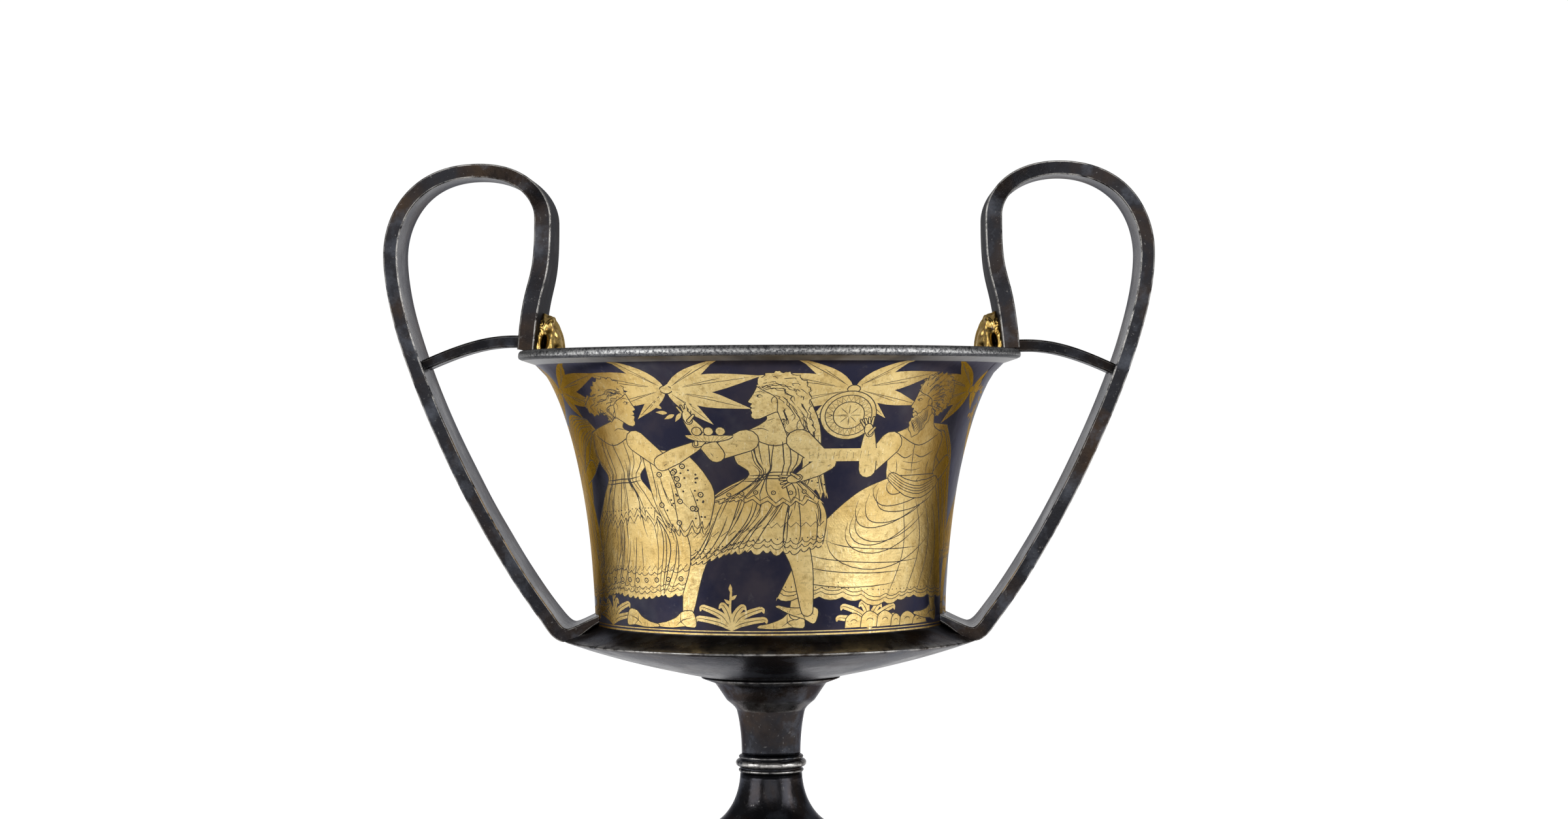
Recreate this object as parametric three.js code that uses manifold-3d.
// Two-handled silver drinking cup (kantharos) on a trumpet foot, with a gilded mask at each handle's root.
// Millimetres, +Z up. The origin is under the middle of the foot, and the handles lie along X.

import * as THREE from 'three';
import { mergeVertices } from 'three/addons/utils/BufferGeometryUtils.js';
import Module from 'manifold-3d';

const wasm = await Module();
wasm.setup();

// Soldered joints: the gap kept between pieces that touch
const GAP = 0.3;

// Foot: a hollow trumpet on a flat disc
const FOOT_HEIGHT = 23.8;
const FOOT_RADIUS = 41.7;
const FOOT_EDGE = 3.6;
const FOOT_NECK_RADIUS = 9.85;
const FOOT_WALL = 1.8;
const FOOT_RING = 3.4;

// Ring of three mouldings between the foot and the stem
const RING_HEIGHT = 5.8;
const RING_BEAD_RADIUS = 11.3;
const RING_LIP_RADIUS = 10.4;

// Stem: a waisted shaft that opens into a cup-shaped collar
const STEM_HEIGHT = 24.5;
const SHAFT_RADIUS = 9.4;
const COLLAR_RADIUS = 14.0;
const SEAT_RADIUS = 22.1;
const COLLAR_LIP = 4.2;

// Bowl: a shallow dish with a sharp keel, a sloping ledge and a wall that flares to the rim
const WALL = 1.5;
const KEEL_RADIUS = 66.2;
const KEEL_RISE = 11.9;
const LEDGE_RISE = 4.7;
const WALL_FOOT_RADIUS = 55.8;
const WALL_RISE = 83.8;
const RIM_RADIUS = 80;
const LIP_HEIGHT = 3.1;
const LIP_WIDTH = 3.8;
const LIP_OVERHANG = 1.3;

// Handles: one strap each, from the rim up over a loop and down to the ledge
const STRAP = 4.4;
const ROOT_STRAP = 5.2;
const STRAP_ARRIS = 0.5;
const ROOT_WIDTH = 36;
const INNER_WIDTH = 30;
const TOP_WIDTH = 18;
const OUTER_WIDTH = 24;
const LOWER_WIDTH = 28;
const END_WIDTH = 33;
const ROOT_INSET = 3.8;
const LOOP_LEAN = 5.26;
const HANDLE_RISE = 59.3;
const HANDLE_REACH = 41.5;
const BEND_REACH = 4.0;
const BEND_RISE = 7.9;

// Struts: a thin curved bar across each handle, just above the rim
const STRUT_THICKNESS = 3.8;
const STRUT_WIDTH = 12;
const STRUT_ARRIS = 0.8;
const STRUT_RISE_LEFT = 3.0;
const STRUT_RISE_RIGHT = 1.0;
const STRUT_FALL = 7.4;
const STRUT_CROWN = 3.4;

// Masks: a small cast head on the inner face of each handle's root, looking into the cup
const MASK_DEPTH = 7.8;
const MASK_HALF_WIDTH = 8.6;
const MASK_CROWN = 12.3;
const MASK_BEARD = 12.6;
const MASK_SET_IN = 3.7;
const MASK_RELIEF = 1.0;

// How finely round forms are cut
const BOWL_SIDES = 54;
const FOOT_SIDES = 36;
const STEM_SIDES = 28;
const MASK_SIDES = 34;
const MASK_ROWS = 24;

// Levels, from the ground up
const RING_BOTTOM = FOOT_HEIGHT + GAP;
const STEM_BOTTOM = RING_BOTTOM + RING_HEIGHT + GAP;
const BOWL_BOTTOM = STEM_BOTTOM + STEM_HEIGHT + GAP;
const KEEL_LEVEL = BOWL_BOTTOM + KEEL_RISE;
const WALL_FOOT_LEVEL = KEEL_LEVEL + LEDGE_RISE;
const LIP_LEVEL = WALL_FOOT_LEVEL + WALL_RISE;
const RIM_LEVEL = LIP_LEVEL + LIP_HEIGHT;

const SILVER = new THREE.MeshStandardMaterial({ color: 0x35343a, metalness: 0.9, roughness: 0.42 });
const WORN_SILVER = new THREE.MeshStandardMaterial({ color: 0x9a9aa0, metalness: 0.95, roughness: 0.38 });
const GILDING = new THREE.MeshStandardMaterial({ color: 0xd8b25c, metalness: 1.0, roughness: 0.34 });

const at = (x, y) => new THREE.Vector2(x, y);

// Points along a cubic curve, without its first point
function curvePoints(start, control1, control2, end, steps) {
  return new THREE.CubicBezierCurve(start, control1, control2, end).getPoints(steps).slice(1);
}

// An open outline moved sideways by a distance, to the right of its direction
function offsetOutline(points, distance) {
  return points.map((point, i) => {
    const before = points[Math.max(i - 1, 0)];
    const after = points[Math.min(i + 1, points.length - 1)];
    const inward = i > 0 ? point.clone().sub(before).normalize() : after.clone().sub(point).normalize();
    const outward = i < points.length - 1 ? after.clone().sub(point).normalize() : inward;
    const normal = at(inward.y + outward.y, -inward.x - outward.x).normalize();
    const along = at(inward.y, -inward.x).dot(normal);
    return point.clone().addScaledVector(normal, distance / along);
  });
}

// A solid turned about Z from a closed outline of radius and height
function turned(outline, sides) {
  const geometry = new THREE.LatheGeometry(outline, sides);
  geometry.rotateX(Math.PI / 2);
  return bare(geometry);
}

// A geometry with shared corners and nothing but positions
function bare(geometry) {
  geometry.deleteAttribute('normal');
  geometry.deleteAttribute('uv');
  return mergeVertices(geometry, 1e-4);
}

function toSolid(geometry) {
  const vertProperties = new Float32Array(geometry.attributes.position.array);
  const triVerts = new Uint32Array(geometry.index.array);
  return new wasm.Manifold(new wasm.Mesh({ numProp: 3, vertProperties, triVerts }));
}

function toGeometry(solid) {
  const mesh = solid.getMesh();
  const geometry = new THREE.BufferGeometry();
  geometry.setAttribute('position', new THREE.BufferAttribute(new Float32Array(mesh.vertProperties), 3));
  geometry.setIndex(new THREE.BufferAttribute(new Uint32Array(mesh.triVerts), 1));
  return geometry;
}

// Outlines for turning run anticlockwise in radius and height, so that the faces point out
function footGeometry() {
  const ring = FOOT_RADIUS - FOOT_RING;
  const edge = [
    at(ring, 0),
    at(FOOT_RADIUS - 0.6, 0),
    at(FOOT_RADIUS, 0.7),
    at(FOOT_RADIUS, FOOT_EDGE - 1.1),
    at(FOOT_RADIUS - 0.7, FOOT_EDGE - 0.2),
  ];
  const hollow = offsetOutline(footTop(5), -FOOT_WALL)
    .filter((point) => point.x < ring - 1 && point.y < FOOT_HEIGHT * 0.72);
  const crown = at(0, hollow.at(-1).y + 0.6);
  return turned([crown, ...hollow.reverse(), ...edge, ...footTop(8), at(0, FOOT_HEIGHT)], FOOT_SIDES);
}

// The foot's upper side, from the edge of the disc in over the trumpet and up to the neck
function footTop(steps) {
  const shoulder = at(FOOT_RADIUS * 0.62, FOOT_EDGE + 1.4);
  const neck = at(FOOT_NECK_RADIUS, FOOT_HEIGHT);
  return [
    at(FOOT_RADIUS - 1.8, FOOT_EDGE),
    shoulder,
    ...curvePoints(shoulder, at(FOOT_RADIUS * 0.42, FOOT_EDGE + 2.6),
      at(FOOT_NECK_RADIUS + 0.7, FOOT_HEIGHT * 0.5), neck, steps),
  ];
}

function ringGeometry() {
  const low = RING_BOTTOM;
  const high = RING_BOTTOM + RING_HEIGHT;
  const middle = low + RING_HEIGHT * 0.53;
  const groove = RING_LIP_RADIUS - 0.6;
  return turned([
    at(0, low),
    at(FOOT_NECK_RADIUS, low),
    at(RING_LIP_RADIUS, low + 0.7),
    at(groove, low + 1.3),
    at(RING_BEAD_RADIUS - 0.3, middle - 0.9),
    at(RING_BEAD_RADIUS, middle),
    at(RING_BEAD_RADIUS - 0.5, middle + 0.8),
    at(groove, high - 1.3),
    at(RING_LIP_RADIUS, high - 0.7),
    at(SHAFT_RADIUS, high),
    at(0, high),
  ], STEM_SIDES);
}

function stemGeometry() {
  const base = at(SHAFT_RADIUS, STEM_BOTTOM);
  const shoulder = at(SHAFT_RADIUS + 1.5, STEM_BOTTOM + STEM_HEIGHT * 0.56);
  const knee = at(COLLAR_RADIUS, STEM_BOTTOM + STEM_HEIGHT * 0.69);
  const rise = at(SEAT_RADIUS - COLLAR_LIP, STEM_BOTTOM + STEM_HEIGHT * 0.92);
  const top = STEM_BOTTOM + STEM_HEIGHT;
  return turned([
    at(0, STEM_BOTTOM),
    base,
    ...curvePoints(base, at(SHAFT_RADIUS, STEM_BOTTOM + STEM_HEIGHT * 0.22),
      at(SHAFT_RADIUS + 0.7, STEM_BOTTOM + STEM_HEIGHT * 0.44), shoulder, 4),
    at(COLLAR_RADIUS - 2.1, STEM_BOTTOM + STEM_HEIGHT * 0.62),
    knee,
    ...curvePoints(knee, at(COLLAR_RADIUS + 1.7, knee.y + 2.4), at(rise.x - 1.0, rise.y - 1.2), rise, 3),
    at(SEAT_RADIUS, top - 0.4),
    at(SEAT_RADIUS, top),
    at(0, top),
  ], STEM_SIDES);
}

// The bowl's outside, from the middle of its underside out over the keel and up to the lip
function bowlOutside(dishSteps, wallSteps, flareSteps) {
  const seat = at(SEAT_RADIUS, BOWL_BOTTOM);
  const keel = at(KEEL_RADIUS, KEEL_LEVEL);
  const foot = at(WALL_FOOT_RADIUS, WALL_FOOT_LEVEL);
  const flare = RIM_RADIUS - LIP_OVERHANG - WALL_FOOT_RADIUS;
  const wallPoint = (out, up) => at(WALL_FOOT_RADIUS + flare * out, WALL_FOOT_LEVEL + WALL_RISE * up);
  const dish = (out, up) => at(SEAT_RADIUS + (KEEL_RADIUS - SEAT_RADIUS) * out, BOWL_BOTTOM + KEEL_RISE * up);
  const turn = wallPoint(0.585, 0.902);
  return [
    at(0, BOWL_BOTTOM),
    seat,
    ...curvePoints(seat, dish(0.40, 0.297), dish(0.73, 0.63), keel, dishSteps),
    foot,
    ...curvePoints(foot, wallPoint(0, 0.29), wallPoint(0.188, 0.685), turn, wallSteps),
    ...curvePoints(turn, wallPoint(0.642, 0.934), wallPoint(0.769, 0.9976), wallPoint(1, 1), flareSteps),
  ];
}

// The bowl's outside with the lip's rounded edge above it, pushed out by a clearance
function grownOutside(clearance) {
  const outside = offsetOutline(bowlOutside(5, 6, 4), clearance);
  outside[0].x = 0;
  return [
    ...outside,
    at(RIM_RADIUS + clearance, LIP_LEVEL + LIP_HEIGHT * 0.3 - clearance / 2),
    at(RIM_RADIUS - 0.2 + clearance, LIP_LEVEL + LIP_HEIGHT * 0.72),
    at(RIM_RADIUS - 1.2 + clearance / 2, RIM_LEVEL + clearance),
  ];
}

// The bowl, its wall grown on both faces by a clearance
function bowlGeometry(clearance) {
  const lipInside = RIM_RADIUS - LIP_WIDTH - clearance;
  const inside = offsetOutline(bowlOutside(3, 5, 4), -WALL - clearance)
    .filter((point) => point.x < lipInside - WALL);
  inside[0].x = 0;
  return turned([...grownOutside(clearance), at(lipInside, RIM_LEVEL + clearance), ...inside.reverse()], BOWL_SIDES);
}

// The bowl as a full body, for cutting what sits against its outside
function filledBowl(clearance) {
  return toSolid(turned([...grownOutside(clearance), at(0, RIM_LEVEL + clearance)], BOWL_SIDES));
}

// A straight bar with bevelled arrises, bent along a path in the XZ plane.
// The path gives points and directions; thickness and width follow the share of its length.
function bentStrap(path, steps, thicknessAt, widthAt, arris) {
  const section = new THREE.Shape([
    at(-1, -0.5), at(-0.5, -1), at(0.5, -1), at(1, -0.5),
    at(1, 0.5), at(0.5, 1), at(-0.5, 1), at(-1, 0.5),
  ]);
  const bar = new THREE.ExtrudeGeometry(section, { depth: 1, steps, bevelEnabled: false });
  const geometry = bare(bar);
  const position = geometry.attributes.position;
  const atEdge = (value, half) => Math.sign(value) * (Math.abs(value) < 1 ? half - arris : half);
  for (let i = 0; i < position.count; i += 1) {
    const share = position.getZ(i);
    const { point, normal } = path(share);
    const across = atEdge(position.getX(i), thicknessAt(share) / 2);
    const along = atEdge(position.getY(i), widthAt(share) / 2);
    position.setXYZ(i, point.x + normal.x * across, along, point.y + normal.y * across);
  }
  return geometry;
}

// A path through a list of curves, shared out by how many steps each one takes
function chain(curves, steps) {
  const total = steps.reduce((sum, count) => sum + count, 0);
  return (share) => {
    let left = Math.min(share, 1 - 1e-9) * total;
    let index = 0;
    while (left >= steps[index] && index < curves.length - 1) {
      left -= steps[index];
      index += 1;
    }
    const t = Math.min(left / steps[index], 1);
    const tangent = curves[index].getTangent(t);
    return { point: curves[index].getPoint(t), normal: at(tangent.y, -tangent.x) };
  };
}

// A value that runs smoothly through stations of share and size
function stations(list) {
  return (share) => {
    const next = Math.max(1, list.findIndex(([place]) => place >= share));
    const [fromPlace, from] = list[next - 1];
    const [toPlace, to] = list[next];
    return from + (to - from) * THREE.MathUtils.smoothstep(share, fromPlace, toPlace);
  };
}

// The strap's middle line on the +X side: inner limb, loop, outer limb and the bend onto the ledge
const LOOP_TOP = RIM_LEVEL + HANDLE_RISE - STRAP / 2;
const LOOP_SIDE = RIM_RADIUS + HANDLE_REACH - STRAP / 2;
const ROOT_X = RIM_RADIUS - ROOT_INSET;
const LEAN_X = ROOT_X - LOOP_LEAN;
const HANDLE_CURVES = (() => {
  const rise = LOOP_TOP - RIM_LEVEL;
  const spread = LOOP_SIDE - LEAN_X;
  const root = at(ROOT_X, RIM_LEVEL + GAP - STRAP);
  const lean = at(LEAN_X, RIM_LEVEL + rise * 0.73);
  const top = at(LEAN_X + spread * 0.436, LOOP_TOP);
  const side = at(LOOP_SIDE, RIM_LEVEL + rise * 0.525);
  const bend = at(KEEL_RADIUS + BEND_REACH, KEEL_LEVEL + BEND_RISE);
  const under = at(KEEL_RADIUS - 3.2, KEEL_LEVEL + STRAP / 2);
  const end = at(WALL_FOOT_RADIUS - 3, WALL_FOOT_LEVEL + STRAP / 2 + 0.6);
  const fall = side.y - bend.y;
  const run = side.x - bend.x;
  return [
    new THREE.CubicBezierCurve(root, at(root.x - 2.1, root.y + rise * 0.5), at(lean.x, lean.y - rise * 0.42), lean),
    new THREE.CubicBezierCurve(lean, at(lean.x, lean.y + rise * 0.127), at(top.x - spread * 0.285, top.y), top),
    new THREE.CubicBezierCurve(top, at(top.x + spread * 0.378, top.y), at(side.x, side.y + rise * 0.249), side),
    new THREE.CubicBezierCurve(side, at(side.x, side.y - fall * 0.263),
      at(bend.x + run * 0.38, bend.y + fall * 0.212), bend),
    new THREE.CubicBezierCurve(bend, at(bend.x - 1.9, bend.y - 2.5), at(under.x + 3.1, under.y - 0.6), under),
    new THREE.CubicBezierCurve(under, at(under.x - 2.6, under.y + 0.6), at(end.x + 3, end.y - 0.8), end),
  ];
})();
const HANDLE_STEPS = [6, 6, 8, 9, 4, 3];
const STRUT_STEPS = 8;

const STRAP_WIDTHS = [
  [0, ROOT_WIDTH], [0.16, INNER_WIDTH], [0.35, TOP_WIDTH], [0.54, OUTER_WIDTH],
  [0.78, LOWER_WIDTH], [0.9, END_WIDTH], [1, END_WIDTH],
];
const STRAP_THICKNESSES = [[0, ROOT_STRAP], [0.16, ROOT_STRAP], [0.35, STRAP], [0.9, STRAP], [1, STRAP * 0.5]];

// One handle on the +X side, thicker all round by a clearance where others are cut against it
function handleSolid(clearance) {
  const steps = HANDLE_STEPS.reduce((sum, count) => sum + count, 0);
  const grow = (values) => stations(values.map(([place, size]) => [place, size + 2 * clearance]));
  const path = chain(HANDLE_CURVES, HANDLE_STEPS);
  return toSolid(bentStrap(path, steps, grow(STRAP_THICKNESSES), grow(STRAP_WIDTHS), STRAP_ARRIS));
}

// The point of the handle's middle line at a height, on one of its limbs
function limbAt(curve, height) {
  let low = 0;
  let high = 1;
  const rising = curve.getPoint(1).y > curve.getPoint(0).y;
  for (let i = 0; i < 40; i += 1) {
    const middle = (low + high) / 2;
    const below = curve.getPoint(middle).y < height;
    if (below === rising) {
      low = middle;
    } else {
      high = middle;
    }
  }
  return curve.getPoint((low + high) / 2);
}

// One strut on the +X side, from the middle of the inner limb to the middle of the outer limb
function strutSolid(rise) {
  const inner = limbAt(HANDLE_CURVES[0], RIM_LEVEL + rise);
  const outer = limbAt(HANDLE_CURVES[3], RIM_LEVEL + rise - STRUT_FALL);
  const span = outer.x - inner.x;
  const curve = new THREE.CubicBezierCurve(inner, at(inner.x + span * 0.33, inner.y + STRUT_CROWN * 0.2),
    at(inner.x + span * 0.62, inner.y - STRUT_FALL + STRUT_CROWN * 1.6), outer);
  const thickness = stations([[0, STRUT_THICKNESS], [1, STRUT_THICKNESS * 0.86]]);
  return toSolid(bentStrap(chain([curve], [STRUT_STEPS]), STRUT_STEPS, thickness, () => STRUT_WIDTH, STRUT_ARRIS));
}

const bump = (value, centre, width) => Math.exp(-(((value - centre) / width) ** 2));

// How far the mask's surface stands out at a place: forward, sideways and up as shares of the head
function maskRelief(forward, side, up) {
  const away = Math.abs(side);
  const face = THREE.MathUtils.smoothstep(forward, 0.2, 0.6);
  const hair = THREE.MathUtils.smoothstep(up, 0.62, 0.8) + THREE.MathUtils.smoothstep(away, 0.72, 0.84);
  const angle = Math.atan2(side, up);
  const brow = 0.7 * bump(up, 0.3, 0.08) * bump(side, 0, 0.62);
  const sockets = -1.5 * bump(up, 0.14, 0.1) * bump(away, 0.33, 0.17);
  const nose = 2.1 * bump(side, 0, 0.13) * bump(up, -0.06, 0.16) + 1.0 * bump(side, 0, 0.12) * bump(up, 0.12, 0.14);
  const mouth = -0.8 * bump(up, -0.37, 0.05) * bump(side, 0, 0.24);
  const moustache = 0.7 * bump(up, -0.27, 0.06) * bump(away, 0.2, 0.2);
  const cheeks = 0.6 * bump(up, -0.08, 0.16) * bump(away, 0.46, 0.16);
  const groove = -1.5 * bump(away, 0.67, 0.07) * bump(up, 0.1, 0.45);
  const beard = THREE.MathUtils.smoothstep(-up, 0.42, 0.6) * (0.5 + 0.5 * Math.cos(angle * 16));
  const curls = Math.min(hair, 1) * (0.45 + 0.55 * Math.cos(angle * 11) * Math.cos(forward * 9));
  return face * (brow + sockets + nose + mouth + moustache + cheeks + groove) + 0.8 * beard + curls;
}

// One mask on the +X side: a rounded head with carved hair, brow, nose and beard
function maskSolid() {
  const geometry = new THREE.SphereGeometry(1, MASK_SIDES, MASK_ROWS);
  geometry.rotateX(Math.PI / 2);
  const ball = bare(geometry);
  const position = ball.attributes.position;
  const centre = new THREE.Vector3(ROOT_X - MASK_SET_IN, 0, RIM_LEVEL);
  for (let i = 0; i < position.count; i += 1) {
    const side = position.getY(i);
    const up = position.getZ(i);
    const forward = -position.getX(i);
    const out = maskRelief(forward, side, up) * MASK_RELIEF;
    const height = up > 0 ? MASK_CROWN : MASK_BEARD;
    const narrow = up < 0 ? 1 + 0.28 * up : 1;
    position.setXYZ(i, centre.x - forward * (MASK_DEPTH + out), side * (MASK_HALF_WIDTH * narrow + out),
      centre.z + up * (height + out * 0.5));
  }
  return toSolid(ball);
}

// The largest connected body of a cut piece
function mainBody(solid) {
  return solid.decompose().sort((one, other) => other.volume() - one.volume())[0];
}

// All pieces of one side, made on +X; the other side is the mirror image
function sidePieces(strutRise) {
  const filled = filledBowl(GAP);
  const grownHandle = handleSolid(GAP);
  const hollowBowl = toSolid(bowlGeometry(GAP));
  const handle = mainBody(handleSolid(0).subtract(filled));
  const strut = mainBody(strutSolid(strutRise).subtract(grownHandle).subtract(filled));
  const reach = HANDLE_REACH;
  const behindRoot = toSolid(bare(new THREE.BoxGeometry(reach, 2 * ROOT_WIDTH, 2 * HANDLE_RISE)
    .translate(ROOT_X - ROOT_STRAP / 2 - GAP + reach / 2, 0, RIM_LEVEL)));
  const mask = mainBody(maskSolid().subtract(behindRoot).subtract(grownHandle).subtract(hollowBowl));
  return { handle, strut, mask };
}

const cup = new THREE.Group();

function addPiece(name, geometry, material) {
  geometry.computeVertexNormals();
  const mesh = new THREE.Mesh(geometry, material);
  mesh.name = name;
  cup.add(mesh);
}

addPiece('foot', footGeometry(), SILVER);
addPiece('stem_ring', ringGeometry(), WORN_SILVER);
addPiece('stem', stemGeometry(), SILVER);
addPiece('bowl', bowlGeometry(0), SILVER);

const right = sidePieces(STRUT_RISE_RIGHT);
const left = sidePieces(STRUT_RISE_LEFT);
const mirrored = (solid) => solid.mirror([1, 0, 0]);
addPiece('handle_right', toGeometry(right.handle), SILVER);
addPiece('strut_right', toGeometry(right.strut), SILVER);
addPiece('mask_right', toGeometry(right.mask), GILDING);
addPiece('handle_left', toGeometry(mirrored(left.handle)), SILVER);
addPiece('strut_left', toGeometry(mirrored(left.strut)), SILVER);
addPiece('mask_left', toGeometry(mirrored(left.mask)), GILDING);

export default cup;
